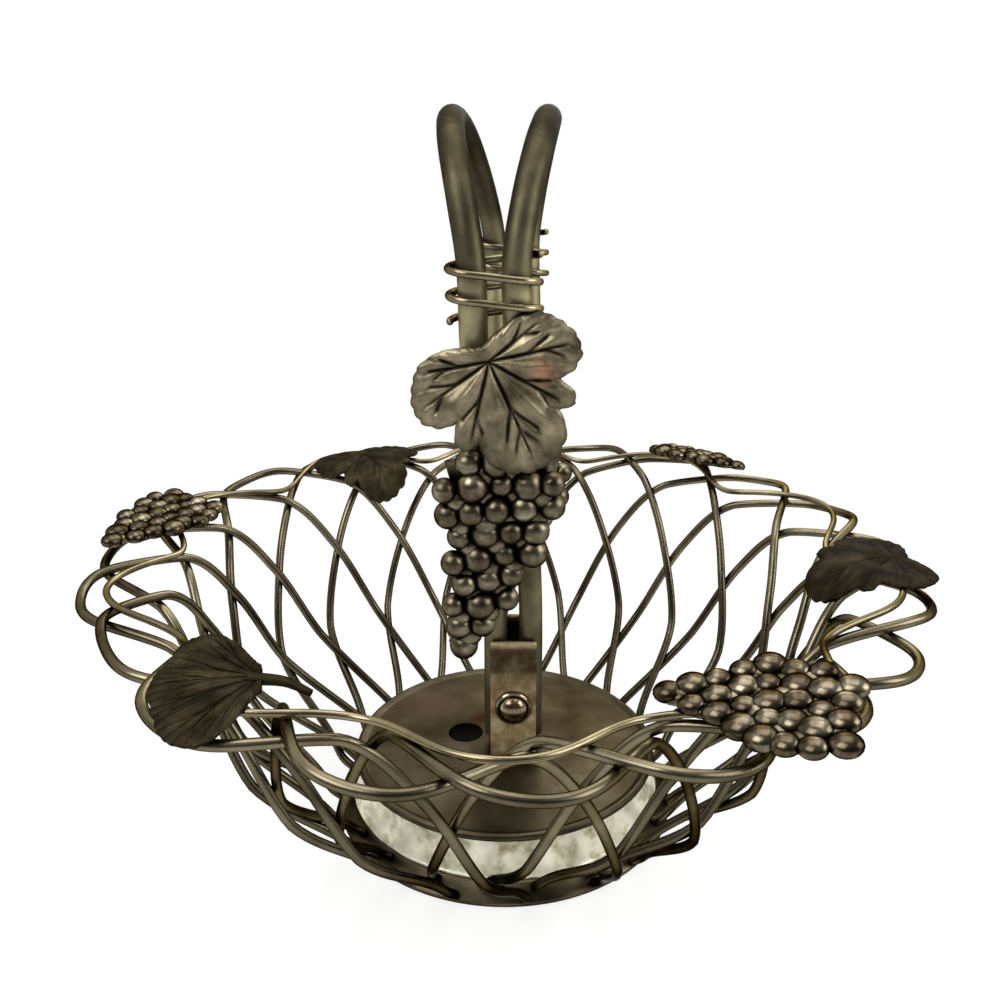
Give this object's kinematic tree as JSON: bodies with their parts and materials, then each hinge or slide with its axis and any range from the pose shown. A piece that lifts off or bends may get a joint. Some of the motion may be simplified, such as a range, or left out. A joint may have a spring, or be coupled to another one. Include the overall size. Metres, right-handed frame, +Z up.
{
  "type": "centerpiece basket",
  "caption": "Open centrepiece basket of looped silver-plated wires on a round foot, with a pivoting two-tube handle, vine leaves and grape bunches",
  "frame": {"origin": "centre of the foot ring on the table, metres, +Z up", "axes": "+X to the right and -Y towards the viewer in the picture; the handle's pivot runs along Y; +Z up through the handle"},
  "size_m": [0.3235, 0.3234, 0.281],
  "materials": {
    "loop_wire": "tarnished silver plate, polished wire",
    "rim_wire": "tarnished silver plate, polished wire",
    "foot_plate": "dark tarnished silver plate",
    "drum_plate": "bright silver plate",
    "disc_plate": "satin tarnished silver plate",
    "worn_strap": "silver plate worn through to a coppery base",
    "bolt_metal": "polished, tarnished",
    "handle_tube": "tarnished silver plate, polished",
    "cast_leaf": "matte tarnished casting, worn edges",
    "cast_grapes": "polished tarnished casting"
  },
  "bodies": {
    "basket": {"loop_wire_01": "loop_wire", "loop_wire_02": "loop_wire", "loop_wire_03": "loop_wire", "loop_wire_04": "loop_wire", "loop_wire_05": "loop_wire", "loop_wire_06": "loop_wire", "loop_wire_07": "loop_wire", "loop_wire_08": "loop_wire", "loop_wire_09": "loop_wire", "loop_wire_10": "loop_wire", "loop_wire_11": "loop_wire", "loop_wire_12": "loop_wire", "loop_wire_13": "loop_wire", "loop_wire_14": "loop_wire", "loop_wire_15": "loop_wire", "loop_wire_16": "loop_wire", "loop_wire_17": "loop_wire", "loop_wire_18": "loop_wire", "loop_wire_19": "loop_wire", "loop_wire_20": "loop_wire", "rim_wave_wire": "rim_wire", "base_ring": "foot_plate", "base_drum": "drum_plate", "top_disc": "disc_plate", "pivot_bracket": "worn_strap", "bracket_rivet_left": "worn_strap", "bracket_rivet_right": "worn_strap", "pivot_bolt": "bolt_metal", "pivot_nut": "bolt_metal", "rim_leaf_right": "cast_leaf", "rim_leaf_rear": "cast_leaf", "rim_leaf_left": "cast_leaf", "rim_grapes_rear": "cast_grapes", "rim_grapes_left": "cast_grapes", "rim_grapes_right": "cast_grapes"},
    "handle": {"handle_hoop_left": "handle_tube", "handle_hoop_right": "handle_tube", "pivot_bush": "bolt_metal", "near_binding_wire": "rim_wire", "far_binding_wire": "rim_wire", "near_leaf": "cast_leaf", "far_leaf": "cast_leaf", "near_grapes": "cast_grapes", "far_grapes": "cast_grapes"}
  },
  "joints": [
    {"name": "handle_swing", "type": "hinge", "parent": "basket", "child": "handle", "pos_m": [0.0035, 0, 0.05], "axis": [0, 1, 0], "range_deg": [-45, 45]}
  ]
}
